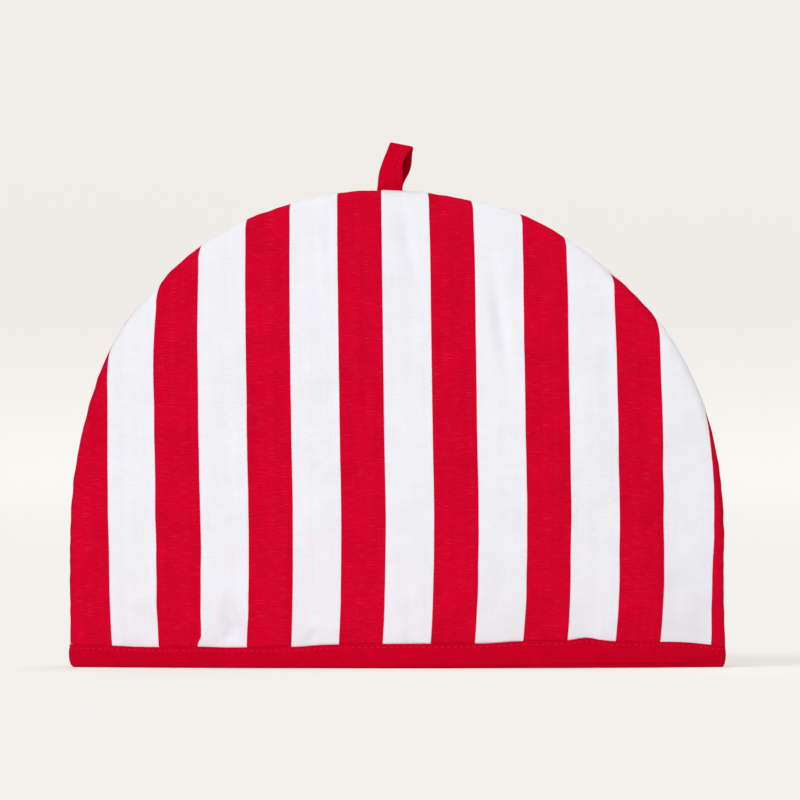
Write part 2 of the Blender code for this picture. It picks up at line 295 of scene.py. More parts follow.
@dataclass(frozen=True)
class CosyForm:
    """The shape that every piece is cut to: the domed seam, the bulge and the hem's curve."""

    half_width: float
    height: float
    foot: float
    binding_reach: float
    binding_height: float
    side_top: float = 54.5 * MM
    rise_power: float = 2.56
    right_power: float = 1.785
    left_power: float = 2.123
    mouth_bulge: float = 36.0 * MM
    bulge_power: float = 1.3
    tape: float = 1.2 * MM
    clear: float = 0.3 * MM
    pressed_half: float = 1.8 * MM
    corner_radius: float = 5.7 * MM
    wave_depth: float = 1.5 * MM
    wave_length: float = 118.0 * MM
    wave_low: float = 15.0 * MM
    wave_high: float = 90.0 * MM
    lift: float = 0.08 * MM
    lift_length: float = 34.0 * MM
    lift_fade: Span = (20.0 * MM, 75.0 * MM)
    nip_start: Span = (150.0 * MM, 185.0 * MM)
    side_nip_width: float = 26.0 * MM
    back_edge: Ripple = Ripple(27.0 * MM, 0.22 * MM, 52)
    left_tip: float = 3.3 * MM
    right_tip: float = 2.3 * MM

    @classmethod
    def from_frame(cls) -> CosyForm:
        """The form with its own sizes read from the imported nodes."""
        (foot, top), (_, binding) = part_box("panel_front"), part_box("hem_binding")
        return cls(top.x, top.z, foot.z, binding.x, binding.z)

    @cached_property
    def hem_leg(self) -> float:
        """From the hem's middle line to the outside of the binding."""
        return self.pressed_half + self.clear + self.tape

    @cached_property
    def corner_centre(self) -> float:
        """How far out the hem's corners start to turn."""
        return self.binding_reach - self.hem_leg - self.corner_radius

    @cached_property
    def hem_lean(self) -> float:
        """The hem's angle to the seam's plane where a corner starts."""
        return math.atan(2.0 * self.mouth_bulge / self.corner_centre)

    @cached_property
    def hem_face_end(self) -> float:
        """How far out the hem's long curve ends."""
        return self.corner_centre + self.corner_radius * math.sin(self.hem_lean)

    @cached_property
    def seam(self) -> Points:
        """The seam as a fine line.

        Returns:
            rows of share, x, z and length along it, from the hem's right end over the top.
        """
        turn = np.linspace(0.0, math.pi / 2.0, 1500)
        rise = self.side_top + (self.height - self.side_top) * np.sin(turn) ** (2.0 / self.rise_power)
        z = np.concatenate([[self.foot], rise])
        halves = []
        for power in (self.right_power, self.left_power):
            x = self.half_width * np.concatenate([[1.0], np.cos(turn) ** (2.0 / power)])
            along = lengths_along(np.stack([x, z], axis=1))
            halves.append(np.array([along / along[-1] / 2.0, x, z, along]))
        right, left = halves
        whole = right[3, -1] + left[3, -1]
        back = np.array([1.0 - left[0], -left[1], left[2], whole - left[3]])[:, ::-1]
        return np.concatenate([right, back], axis=1)

    def seam_nip(self, x: Points, z: Points) -> Points:
        """How far the sewn seam lies inside its plain outline, here and there."""
        left, right = (deep * bell(z, place * MM, self.side_nip_width) for place, deep in SIDE_NIPS)
        return wander(x, SEAM_NIPS) * smooth_step(z, *self.nip_start) + MM * np.where(x < 0, left, right)

    def seam_at(self, share: Points) -> tuple[Points, Points, Points]:
        """x, z and length along the seam at these shares of it."""
        shares, *rows = self.seam
        return tuple(np.interp(share, shares, row) for row in rows)

    def bulge(self, x: Points, z: Points) -> Points:
        """How far a panel stands out inside the seam's outline.

        Args:
            x: places across.
            z: places up.

        Returns:
            distances from the seam's plane, 0 along the outline.
        """
        rise = np.clip((z - self.side_top) / (self.height - self.side_top), 0.0, 1.0)
        power = np.where(x > 0, self.right_power, self.left_power)
        wide = self.half_width * (1.0 - rise**self.rise_power) ** (1.0 / power)
        across = np.abs(x) / np.maximum(wide, self.clear)
        up = 1.0 - np.minimum(z / self.height, 1.0) ** self.bulge_power
        return self.mouth_bulge * up * np.maximum(1.0 - across * across, 0.0)

    def seam_frame(self, share: Points) -> tuple[Points, ...]:
        """The seam's place and slope.

        Args:
            share: shares of the seam's length.

        Returns:
            x, z, the outward normal's x and z, the reach from the foot's middle to the tangent,
            and the panel's lean where it meets the seam.
        """
        step, inner = 0.004, 0.985
        x, z, _ = self.seam_at(share)
        x0, z0, _ = self.seam_at(np.clip(share - step, 0.0, 1.0))
        x1, z1, _ = self.seam_at(np.clip(share + step, 0.0, 1.0))
        length = np.hypot(x1 - x0, z1 - z0)
        out_x, out_z = (z1 - z0) / length, -(x1 - x0) / length
        reach = x * out_x + (z - self.foot) * out_z
        rise = self.bulge(inner * x, self.foot + inner * (z - self.foot))
        return x, z, out_x, out_z, reach, np.arctan2(rise, (1.0 - inner) * reach)

    def hem_line(self, across: Points, corner: Points, offset: float) -> tuple[Points, Points]:
        """The pressed hem's middle line, moved outwards.

        Args:
            across: 0 at the middle and 1 where a corner starts to turn.
            corner: 0 there and 1 at the side seam.
            offset: how far the line is moved out.

        Returns:
            x, and the distance from the seam's plane.
        """
        turn = self.hem_lean + (math.pi / 2.0 - self.hem_lean) * corner
        radius = self.corner_radius + offset
        slope = 2.0 * self.mouth_bulge * across / self.hem_face_end
        length = np.hypot(1.0, slope)
        face_x = across * self.hem_face_end + offset * slope / length
        rise = self.corner_radius * math.cos(self.hem_lean) + self.mouth_bulge * (1.0 - across**2)
        x = np.where(corner > 0, self.corner_centre + radius * np.sin(turn), face_x)
        return x, np.where(corner > 0, radius * np.cos(turn), rise + offset / length)

    def hem_wave(self, x: Points, z: Points, side: Side) -> Points:
        """How far the cloth wanders outwards near the hem.

        Args:
            x: places across.
            z: places up.
            side: which panel.

        Returns:
            distances outwards, 0 at the corners and higher up.
        """
        middle = np.maximum(1.0 - (x / self.corner_centre) ** 2, 0.0)
        fade = smooth_fall(z, self.wave_low, self.wave_high)
        turns = np.sin(math.tau * x / self.wave_length + HEM_PHASE[side])
        return self.wave_depth * middle * fade * turns

    def hem_lift(self, x: Points, z: Points, side: Side) -> Points:
        """How far the hem hangs clear of what it stands on: a very little, in places."""
        hung = Ripple(self.lift_length, self.lift, HEM_SEED[side]).along(x)
        return smooth_fall(z, *self.lift_fade) * np.maximum(hung, 0.0)

    def tip_rise(self, x: Points, z: Points, within: float) -> Points:
        """How far the cloth turns up at the hem's two ends, which are rounded.

        Args:
            x: places across.
            z: places up.
            within: how far the cloth lies inside the binding's outside.

        Returns:
            heights to add, none above the binding.
        """
        radius = np.where(x < 0, self.left_tip, self.right_tip)
        past = np.clip(np.abs(x) + within - (self.binding_reach - radius), 0.0, radius)
        turned = radius - np.sqrt(radius**2 - past**2)
        return turned * np.clip(1.0 - z / self.binding_height, 0.0, 1.0)

    def binding_top(self, x: Points, side: Side) -> Points:
        """The height of the binding's upper edge, which wanders and is puckered up once in front.

        Args:
            x: places across.
            side: which panel.

        Returns:
            heights.
        """
        if side is Side.FRONT:
            return self.binding_height + wander(x, FRONT_EDGE)
        apart = smooth_fall(np.abs(x), self.corner_centre, self.half_width)
        return self.binding_height + self.back_edge.along(x) * apart


@dataclass(frozen=True)
class StitchStyle:
    """One line of machine stitches, and how its threads dive into the cloth at both ends."""

    length: float
    gap: float
    radius: float
    sides: int = 8
    straight: float = 0.55
    dive: float = 1.1
    narrowing: float = 0.45


class Shaper:
    """Adds primitives and shapes them, with nothing else selected."""

    @staticmethod
    def alone(*pieces: Piece) -> None:
        """Selects these pieces and nothing else.

        Args:
            pieces: the pieces, of which the first is made active.
        """
        bpy.ops.object.select_all(action="DESELECT")
        for piece in pieces:
            piece.select_set(True)
        bpy.context.view_layer.objects.active = pieces[0]

    @classmethod
    def join(cls, pieces: list[Piece]) -> Piece:
        """Joins meshes into one.

        Args:
            pieces: the meshes.

        Returns:
            the first of them, which holds them all.
        """
        cls.alone(*pieces)
        bpy.ops.object.join()
        return pieces[0]

    @classmethod
    def grid(cls, name: str, points: Points, flat: Points) -> Piece:
        """A grid primitive, its vertices moved into place.

        Args:
            name: the new piece's name.
            points: rows by columns by 3, the place of each vertex.
            flat: rows by columns by 2, each vertex's place in the flat cloth.

        Returns:
            the new object.
        """
        rows, columns = points.shape[:2]
        bpy.ops.object.select_all(action="DESELECT")
        bpy.ops.mesh.primitive_grid_add(
            x_subdivisions=columns - 1, y_subdivisions=rows - 1, size=2.0, calc_uvs=False
        )
        piece = bpy.context.active_object
        piece.name = piece.data.name = name
        piece.data.vertices.foreach_set("co", points.astype(np.float32).ravel())
        cls.lay_flat(piece, flat)
        piece.data.update()
        return piece

    @staticmethod
    def lay_flat(piece: Piece, flat: Points) -> None:
        """Notes each vertex's place in the flat cloth."""
        places = piece.data.attributes.new("flat", "FLOAT2", "POINT")
        places.data.foreach_set("vector", flat.astype(np.float32).ravel())

    @staticmethod
    def corners(mesh: bpy.types.Mesh) -> Points:
        """The vertex at each corner of each face.

        Args:
            mesh: the mesh.

        Returns:
            the vertices' numbers.
        """
        numbers = np.zeros(len(mesh.loops), np.int32)
        mesh.loops.foreach_get("vertex_index", numbers)
        return numbers

    @classmethod
    def map_cloth(cls, piece: Piece) -> None:
        """Makes a piece's UV map from its vertices' places in the flat cloth.

        Args:
            piece: the piece, which loses its note of those places.
        """
        mesh = piece.data
        flat = np.zeros(len(mesh.vertices) * 2, np.float32)
        mesh.attributes["flat"].data.foreach_get("vector", flat)
        layer = mesh.uv_layers.new(name="cloth")
        layer.data.foreach_set("uv", flat.reshape(-1, 2)[cls.corners(mesh)].ravel())
        mesh.attributes.remove(mesh.attributes["flat"])

    @classmethod
    def edit(cls, piece: Piece, *steps: tuple) -> None:
        """Runs edit-mode operators on a piece.

        Args:
            piece: what is edited.
            steps: pairs of an operator and its settings.
        """
        cls.alone(piece)
        bpy.ops.object.mode_set(mode="EDIT")
        for operator, settings in steps:
            operator(**settings)
        bpy.ops.object.mode_set(mode="OBJECT")

    @classmethod
    def edit_open_edges(cls, piece: Piece, operator: object) -> None:
        """Runs the edit-mode operator that closes a piece's open edges."""
        nothing = (bpy.ops.mesh.select_all, {"action": "DESELECT"})
        cls.edit(piece, nothing, (bpy.ops.mesh.select_non_manifold, {}), (operator, {}))

    @classmethod
    def edit_all(cls, piece: Piece, operator: object, **settings: object) -> None:
        """Runs one edit-mode operator, with its settings, on the whole of a piece."""
        cls.edit(piece, (bpy.ops.mesh.select_all, {"action": "SELECT"}), (operator, settings))

    @classmethod
    def finish(cls, piece: Piece, *materials: Material) -> None:
        """Gives a shaped piece its normals, smooth shading and materials.

        Args:
            piece: the piece.
            materials: its materials, in the order of its slots.
        """
        cls.edit_all(piece, bpy.ops.mesh.normals_make_consistent, inside=False)
        piece.data.shade_smooth()
        for material in materials:
            piece.data.materials.append(material)


class NodeBook:
    """Writes one material's nodes."""

    def __init__(self, name: str) -> None:
        """Starts a material with its Principled shader.

        Args:
            name: the material's name.
        """
        self.material = bpy.data.materials.new(name)
        self.material.use_nodes = True
        self.tree = self.material.node_tree
        self.shader = self.tree.nodes["Principled BSDF"]

    def fill(self, node: bpy.types.Node, inputs: dict[object, object]) -> None:
        """Links a node's sockets to others, or sets them to values.

        Args:
            node: the node.
            inputs: what its sockets take, by their names or numbers.
        """
        for key, source in inputs.items():
            if isinstance(source, Socket):
                self.tree.links.new(source, node.inputs[key])
            else:
                node.inputs[key].default_value = source

    def node(self, kind: str, inputs: dict[object, object], **settings: object) -> bpy.types.Node:
        """Adds a node.

        Args:
            kind: the node's type.
            inputs: what its sockets take, by their names or numbers.
            settings: its properties.

        Returns:
            the node.
        """
        made = self.tree.nodes.new(kind)
        for key, value in settings.items():
            setattr(made, key, value)
        self.fill(made, inputs)
        return made

    def math(self, operation: str, *inputs: object) -> Socket:
        """The result of a Math node, from sockets or numbers."""
        return self.node("ShaderNodeMath", dict(enumerate(inputs)), operation=operation).outputs[0]

    def cloth(self) -> tuple[Socket, Socket]:
        """The places across and up in the flat cloth, in metres."""
        place = self.node("ShaderNodeUVMap", {}, uv_map="cloth").outputs[0]
        return tuple(self.node("ShaderNodeSeparateXYZ", {0: place}).outputs)[:2]

    def noise(self, x: Socket, y: Socket, scale: Span, detail: float) -> Socket:
        """Noise over the cloth.

        Args:
            x: places across.
            y: places up.
            scale: the noise's scale across and up.
            detail: its layers.

        Returns:
            values from 0 to 1.
        """
        places = {axis: self.math("MULTIPLY", *pair) for axis, pair in enumerate(zip((x, y), scale))}
        place = self.node("ShaderNodeCombineXYZ", places).outputs[0]
        inputs = {"Scale": 1.0, "Detail": detail, "Vector": place}
        return self.node("ShaderNodeTexNoise", inputs).outputs["Fac"]

    def ramp(self, value: Socket, span: Span, to: Span) -> Socket:
        """A smooth change from one number to another, over a span of the value."""
        inputs = dict(enumerate((value, *span, *to)))
        return self.node("ShaderNodeMapRange", inputs, interpolation_type="SMOOTHSTEP").outputs[0]

    def mix(self, factor: Socket, first: object, second: object) -> Socket:
        """A colour between two others.

        Args:
            factor: 0 for the first and 1 for the second.
            first: a colour or a socket.
            second: a colour or a socket.

        Returns:
            the mixed colour.
        """
        ends = [(*end, 1.0) if isinstance(end, tuple) else end for end in (first, second)]
        inputs = dict(zip(MIX_INPUTS, (factor, *ends)))
        return self.node("ShaderNodeMix", inputs, data_type="RGBA").outputs[MIX_RESULT]

    def shade(self, colour: object, factor: Socket) -> Socket:
        """A colour made lighter or darker by a factor."""
        inputs = {0: colour, "Scale": factor}
        return self.node("ShaderNodeVectorMath", inputs, operation="SCALE").outputs[0]

    def finished(self, colour: Socket, rough: float, specular: float) -> Material:
        """Gives the shader its colour and its shine, and hands over the material."""
        self.fill(self.shader, {"Base Color": colour, "Roughness": rough, "Specular IOR Level": specular})
        return self.material

    def raised(self, height: Socket, depth: float) -> None:
        """Gives the shader a relief, of which a height of 1 stands this many metres."""
        relief = self.node("ShaderNodeBump", {"Strength": 1.0, "Distance": depth, "Height": height})
        self.fill(self.shader, {"Normal": relief.outputs[0]})


@dataclass(frozen=True)
class Weave:
    """A plain weave: how far apart its threads lie, how deep it is, and its slubs."""

    pitch: float = 0.40 * MM
    depth: float = 0.05 * MM
    slub: float = 0.38
    bias: bool = False
    unevenness: float = 0.35
    drift_scale: Span = (900.0, 900.0)
    slub_scale: Span = (170.0, 1900.0)
    slub_range: Span = (0.54, 0.72)
    slub_height: float = 1.1

    def threads(self, book: NodeBook) -> tuple[Socket, Socket]:
        """The cloth's threads, which give the shader its relief.

        Args:
            book: the material being written.

        Returns:
            how much of a slub's colour each place has, and a shade near 1.
        """
        x, y = book.cloth()
        if self.bias:
            x, y = book.math("ADD", x, y), book.math("SUBTRACT", x, y)
        drift = book.math("SUBTRACT", book.noise(x, y, self.drift_scale, 1.0), 0.5)
        drift = book.math("MULTIPLY", drift, self.unevenness)
        turns = [book.math("MULTIPLY", place, math.pi / self.pitch) for place in (x, y)]
        warp, weft = (book.math("SINE", book.math("ADD", turn, drift)) for turn in turns)
        slubs = book.ramp(book.noise(x, y, self.slub_scale, 2.0), self.slub_range, (0.0, 1.0))
        raised = book.math("MULTIPLY", slubs, self.slub_height)
        book.raised(book.math("ADD", book.math("MULTIPLY", warp, weft), raised), self.depth)
        shade = 1.0
        for scale, detail, span, tones in COTTON_TONES:
            tone = book.ramp(book.noise(x, y, scale, detail), span, tones)
            shade = book.math("MULTIPLY", shade, tone)
        return book.math("MULTIPLY", slubs, self.slub), shade


@dataclass(frozen=True)
class StripedCotton:
    """The panels' cloth: printed red stripes on white cotton, with a plain weave."""

    name: str
    red_start: float
    red: Colour = (0.645, 0.0008, 0.0240)
    white: Colour = (0.877, 0.886, 0.948)
    slub_red: Colour = (0.80, 0.022, 0.080)
    slub_white: Colour = (0.93, 0.93, 0.97)
    pitch: float = 49.72 * MM
    red_width: float = 23.95 * MM
    edge: float = 0.16 * MM
    fray: float = 0.30 * MM
    fray_scale: Span = (500.0, 2400.0)
    white_evenness: float = 0.7
    weave: Weave = Weave()
    roughness: float = 0.88
    specular: float = 0.02

    def material(self) -> Material:
        """Writes the cloth.

        Returns:
            the material.
        """
        book = NodeBook(self.name)
        x, y = book.cloth()
        half, half_pitch = self.red_width / 2.0, self.pitch / 2.0
        fray = book.math("SUBTRACT", book.noise(x, y, self.fray_scale, 2.0), 0.5)
        place = book.math("ADD", x, book.math("MULTIPLY", fray, self.fray))
        place = book.math("SUBTRACT", place, self.red_start + half)
        place = book.math("ABSOLUTE", book.math("WRAP", place, half_pitch, -half_pitch))
        red = book.ramp(place, (half - self.edge, half + self.edge), (1.0, 0.0))
        slubs, shade = self.weave.threads(book)
        reds = book.shade(book.mix(slubs, self.red, self.slub_red), shade)
        gentle = book.math("MULTIPLY", shade, 1.0 - self.white_evenness)
        gentle = book.math("ADD", gentle, self.white_evenness)
        whites = book.shade(book.mix(slubs, self.white, self.slub_white), gentle)
        return book.finished(book.mix(red, whites, reds), self.roughness, self.specular)


@dataclass(frozen=True)
class PlainCotton:
    """One-colour cotton, for the binding, the loop, the loop's inner side in painted shade and the
    panels' inner face.
    """

    name: str
    colour: Colour
    slub_colour: Colour
    weave: Weave = Weave()
    roughness: float = 0.86
    specular: float = 0.01

    def material(self) -> Material:
        """Writes the cloth.

        Returns:
            the material.
        """
        book = NodeBook(self.name)
        slubs, shade = self.weave.threads(book)
        cloth = book.shade(book.mix(slubs, self.colour, self.slub_colour), shade)
        return book.finished(cloth, self.roughness, self.specular)


@dataclass(frozen=True)
class Thread:
    """Twisted sewing thread, whose plies also carry a painted shade and highlight."""

    name: str
    colour: Colour
    twist: float = 0.35 * MM
    depth: float = 0.03 * MM
    # Shades of the plies from groove to crest: painted shade and highlight
    tones: Span = (0.78, 1.1)
    roughness: float = 0.6
    specular: float = 0.1

    def material(self) -> Material:
        """Writes the thread.

        Returns:
            the material.
        """
        book = NodeBook(self.name)
        ply = book.math("MULTIPLY", book.math("ADD", *book.cloth()), math.tau / self.twist)
        ply = book.math("SINE", ply)
        book.raised(ply, self.depth)
        # The tone follows the plies' relief, darker in the grooves and lighter on the crests: painted
        # shade and highlight
        tone = book.ramp(ply, (-1.0, 1.0), self.tones)
        return book.finished(book.shade(self.colour, tone), self.roughness, self.specular)


@dataclass(frozen=True)
class SoftLight:
    """One distant light: its place round from the front and up, its power and its width."""

    name: str
    azimuth: float
    elevation: float
    strength: float
    softness: float

    def hang(self, distance: float) -> None:
        """Puts the light up.

        Args:
            distance: how far off its lamp stands, which changes nothing but where it is drawn.
        """
        turn, rise = math.radians(self.azimuth), math.radians(self.elevation)
        ahead = (math.sin(turn) * math.cos(rise), -math.cos(turn) * math.cos(rise), math.sin(rise))
        lamp = bpy.data.lights.new(self.name, "SUN")
        lamp.energy = self.strength
        lamp.angle = math.radians(self.softness)
        light = bpy.data.objects.new(self.name, lamp)
        light.rotation_euler = Vector(ahead).to_track_quat("Z", "Y").to_euler()
        light.location = Vector(ahead) * distance
        bpy.context.scene.collection.objects.link(light)


@dataclass(frozen=True)
class Studio:
    """The pale floor with its far sweep, the soft lights and the camera."""

    floor: Colour = (0.975, 0.965, 0.927)
    wall: Colour = (0.838, 0.813, 0.779)
    wall_height: float = 0.3
    floor_sides: int = 160
    flat_radius: float = 11.0
    sweep_radius: float = 4.2
    sweep_end: float = math.radians(48.0)
    sweep_steps: int = 14
    surround: Colour = (1.0, 0.99, 0.98)
    surround_strength: float = 0.17
    camera_distance: float = 8.0
    frame_width: float = 429.2 * MM
    camera_x: float = 1.35 * MM
    camera_z: float = 143.2 * MM
    camera_reach: float = 60.0
    sensor: float = 36.0
    lights: tuple[SoftLight, ...] = (
        SoftLight("key", -32.0, 30.0, 0.79, 20.0),
        SoftLight("fill", 0.0, 10.0, 0.80, 18.0),
        SoftLight("top", 0.0, 88.0, 1.53, 70.0),
        SoftLight("rear", 160.0, 35.0, 0.50, 60.0),
    )

    def build(self) -> None:
        """Makes the floor, the lights and the camera."""
        self.make_floor()
        for light in self.lights:
            light.hang(self.camera_distance)
        self.make_surround()
        self.make_camera()

    def make_floor(self) -> None:
        """A wide round floor that sweeps up far behind and all round."""
        bpy.ops.object.select_all(action="DESELECT")
        bpy.ops.mesh.primitive_circle_add(
            vertices=self.floor_sides, radius=self.flat_radius, fill_type="NGON", calc_uvs=False
        )
        floor = bpy.context.active_object
        floor.name = "studio_floor"
        radius, height = self.flat_radius, 0.0
        bpy.ops.object.mode_set(mode="EDIT")
        bpy.ops.mesh.select_all(action="SELECT")
        for turn in np.linspace(0.0, self.sweep_end, self.sweep_steps + 1)[1:]:
            out = self.flat_radius + self.sweep_radius * math.sin(turn)
            up = self.sweep_radius * (1.0 - math.cos(turn))
            move = {"value": (0.0, 0.0, up - height)}
            bpy.ops.mesh.extrude_region_move(TRANSFORM_OT_translate=move)
            wider = (out / radius, out / radius, 1.0)
            bpy.ops.transform.resize(value=wider, center_override=(0.0, 0.0, 0.0))
            radius, height = out, up
        bpy.ops.mesh.delete(type="ONLY_FACE")
        bpy.ops.object.mode_set(mode="OBJECT")
        floor.data.shade_smooth()
        floor.data.materials.append(self.paper())

    def paper(self) -> Material:
        """The floor's dull paper, which is darker where it stands up.

        Returns:
            the material.
        """
        book = NodeBook("studio_paper")
        place = book.node("ShaderNodeTexCoord", {}).outputs["Object"]
        height = book.node("ShaderNodeSeparateXYZ", {0: place}).outputs["Z"]
        upward = book.ramp(height, (0.0, self.wall_height), (0.0, 1.0))
        return book.finished(book.mix(upward, self.floor, self.wall), 1.0, 0.0)

    def make_surround(self) -> None:
        """An even, weak light from all round."""
        world = bpy.data.worlds.new("studio")
        world.use_nodes = True
        surround = world.node_tree.nodes["Background"]
        surround.inputs["Color"].default_value = (*self.surround, 1.0)
        surround.inputs["Strength"].default_value = self.surround_strength
        bpy.context.scene.world = world

    def make_camera(self) -> None:
        """A long lens, level with the cosy's middle and square to its front."""
        lens = bpy.data.cameras.new("camera")
        lens.sensor_width = self.sensor
        lens.lens = self.sensor * self.camera_distance / self.frame_width
        lens.clip_end = self.camera_reach
        camera = bpy.data.objects.new("camera", lens)
        camera.location = (self.camera_x, -self.camera_distance, self.camera_z)
        camera.rotation_euler = (math.pi / 2.0, 0.0, 0.0)
        bpy.context.scene.collection.objects.link(camera)
        bpy.context.scene.camera = camera
        bpy.context.scene.view_settings.view_transform = "Standard"
        bpy.context.scene.view_settings.look = "None"


@dataclass
class PaddedPanel:
    """One panel: striped cotton over wadding, rolled over into the seam."""

    name: str
    form: CosyForm
    side: Side
    cloth: Material
    inside: Material
    seed: int
    creases: tuple[Crease, ...]
    face_share: float = 0.8
    face_columns: int = 80
    face_rows: int = 104
    roll_cells: int = 13
    foot_crowding: float = 1.25
    hem_band: Span = (0.040, 0.078)
    hem_rows: int = 22
    roll_radius: float = 5.5 * MM
    roll_end: float = math.radians(130.0)
    inner_roll_radius: float = 2.0 * MM
    land_depth: float = 7.0 * MM
    seam_half_gap: float = 0.15 * MM
    pressed_over: float = 2.0 * MM
    pressed_fade: float = 32.0 * MM
    bound_edge: Span = (-0.9 * MM, 0.3 * MM)
    stripe_lean: float = 0.0133
    lean_height: float = 144.3 * MM
    hem_draw: float = 5.5 * MM
    hem_draw_middle: float = -89.6 * MM
    hem_draw_width: float = 102.0 * MM
    hem_draw_height: float = 28.0 * MM
    tuck_x: float = -104.5 * MM
    tuck: float = 2.4 * MM
    tuck_width: float = 9.0 * MM
    tuck_height: float = 6.0 * MM
    tuck_under: float = 1.0 * MM
    pull_x: float = -76.0 * MM
    pull: float = 1.1 * MM
    pull_width: float = 15.0 * MM
    pull_height: float = 22.0 * MM
    pull_back: Span = (128.0 * MM, 172.0 * MM)
    bow: float = 0.45 * MM
    bow_height: float = 80.0 * MM
    bow_width: float = 30.0 * MM
    flare: float = 0.3 * MM
    flare_height: float = 12.0 * MM
    flare_start: Span = (150.0 * MM, 172.0 * MM)
    seam_draw: float = 0.8 * MM
    seam_draw_reach: float = 26.0 * MM
    drawn_above: Span = (110.0 * MM, 160.0 * MM)
    let_out: float = 1.5
    let_out_below: Span = (90.0 * MM, 130.0 * MM)
    nip_reach: float = 36.0 * MM
    loop_x: float = -4.1 * MM
    loop_half_room: float = 7.9 * MM
    loop_room: float = 1.8 * MM
    loop_room_fade: float = 4.0 * MM
    loop_root: float = 21.0 * MM
    free_start: Span = (1.0 * MM, 26.0 * MM)
    wave_start: Span = (4.0 * MM, 45.0 * MM)
    crease_start: Span = (9.0 * MM, 17.0 * MM)
    crease_share: float = 0.8
    pucker_reach: Band = (0.0, 5.0 * MM, 8.0 * MM, 24.0 * MM)
    seam_wave_reach: Band = (2.0 * MM, 9.0 * MM, 18.0 * MM, 55.0 * MM)
    crown: float = 0.55 * MM
    crown_reach: Band = (-1.0 * MM, 1.6 * MM, 10.0 * MM, 60.0 * MM)
    crown_ends: Span = (0.80, 0.97)

    def build(self) -> Piece:
        """Shapes the panel's two faces, joins them along their edges and dresses the panel.

        Returns:
            the panel.
        """
        faces = [self.face_mesh(Face.OUTER), self.face_mesh(Face.INNER)]
        striped = len(faces[0].data.polygons)
        panel = Shaper.join(faces)
        Shaper.edit_open_edges(panel, bpy.ops.mesh.bridge_edge_loops)
        Shaper.map_cloth(panel)
        Shaper.finish(panel, self.cloth, self.inside)
        slots = np.arange(len(panel.data.polygons)) >= striped
        panel.data.polygons.foreach_set("material_index", slots.astype(np.int32))
        panel.data.update()
        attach(panel, BODY)
        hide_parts(self.name)
        return panel

    def stations(self) -> tuple[Points, Points]:
        """The grid's lines, closer together where the panel rolls over and at the hem.

        Returns:
            places across from -1 to 1, and up from 0 to 1.
        """
        roll = np.linspace(self.face_share, 1.0, self.roll_cells + 1)[1:]
        half = np.concatenate([np.linspace(0.0, self.face_share, self.face_columns + 1), roll])
        up = self.face_share * np.linspace(0.0, 1.0, self.face_rows + 1) ** self.foot_crowding
        low, high = self.hem_band
        up = np.concatenate([up[up < low], np.linspace(low, high, self.hem_rows), up[up > high], roll])
        return np.concatenate([-half[:0:-1], half]), up

    def face_mesh(self, face: Face) -> Piece:
        """One face of the panel as its own mesh.

        Args:
            face: which face.

        Returns:
            the mesh, still open round its edge.
        """
        points, flat, share, inset = self.face_points(*np.meshgrid(*self.stations()), face)
        lift = self.form.hem_lift(points[..., 0], points[..., 2], self.side)
        rise = self.relief(points, share, inset, face)
        points = points + self.normals(points, face) * rise[..., None]
        points[..., 1] = self.held_apart(points)
        within = self.form.tape + self.form.clear
        points[..., 2] += lift + self.form.tip_rise(points[..., 0], points[..., 2], within)
        return Shaper.grid("padded_" + self.name, points, flat)

    def face_points(self, u: Points, v: Points, face: Face) -> tuple[Points, ...]:
        """The plain surface of one face.

        Args:
            u: places across, from -1 to 1.
            v: places up, from 0 to 1.
            face: which face.

        Returns:
            the points, their places in the flat cloth, their shares of the seam, and how far
            in from the seam they lie along the cloth.
        """
        form, outer = self.form, face is Face.OUTER
        # Straight out from each point: a quarter of the seam on either side, and half over the top
        ring = np.maximum(np.abs(u), v)
        beside = 0.25 * v / np.where(u == 0, 1e-9, np.abs(u))
        beside = np.where(u > 0, beside, 1.0 - beside)
        over = 0.5 - 0.25 * u / np.where(v == 0, 1e-9, v)
        share = np.where(ring == 0, 0.5, np.where(v > np.abs(u), over, beside))
        face_part = np.minimum(ring / self.face_share, 1.0)
        roll = np.maximum((ring - self.face_share) / (1.0 - self.face_share), 0.0)
        edge_x, edge_z, out_x, out_z, reach, lean = form.seam_frame(share)
        inland = (1.0 - face_part) * reach
        # The bulging face, and its roll into the seam
        end = self.roll_end if outer else math.pi / 2.0
        radius = self.roll_radius if outer else self.inner_roll_radius
        land = 0.0 if outer else self.land_depth + self.roll_radius * (1.0 - math.sin(self.roll_end))
        turn = lean + (end - lean) * roll
        inset = land + radius * (1.0 - np.sin(turn))
        out = self.seam_half_gap + radius * (np.cos(turn) - math.cos(end))
        stood = form.bulge(face_part * edge_x, form.foot + face_part * (edge_z - form.foot))
        out = out + np.where(roll == 0, stood, 0.0)
        scale = face_part * (1.0 - inset / reach)
        x, z = scale * edge_x, form.foot + scale * (edge_z - form.foot)
        # The hem, pressed flat within the binding and flaring a little over it
        pressed_top = form.binding_height + self.pressed_over
        pressed = smooth_fall(z, pressed_top, pressed_top + self.pressed_fade)
        across = np.where(roll > 0, 1.0, face_part * np.abs(edge_x) / form.half_width)
        hem_x, hem_out = form.hem_line(across, roll, form.pressed_half * (1.0 if outer else -1.0))
        bound = smooth_fall(z - form.binding_top(x, self.side), *self.bound_edge)
        x = x + (bound if outer else pressed) * (np.copysign(hem_x, u) - x)
        flared = smooth_fall(z, form.binding_height, form.binding_height + self.flare_height)
        flared = flared * (1.0 - bound) * smooth_step(np.abs(x), *self.flare_start)
        x = x + np.copysign(self.flare * flared, u)
        out = out + pressed * (hem_out - out) + form.hem_wave(x, z, self.side)
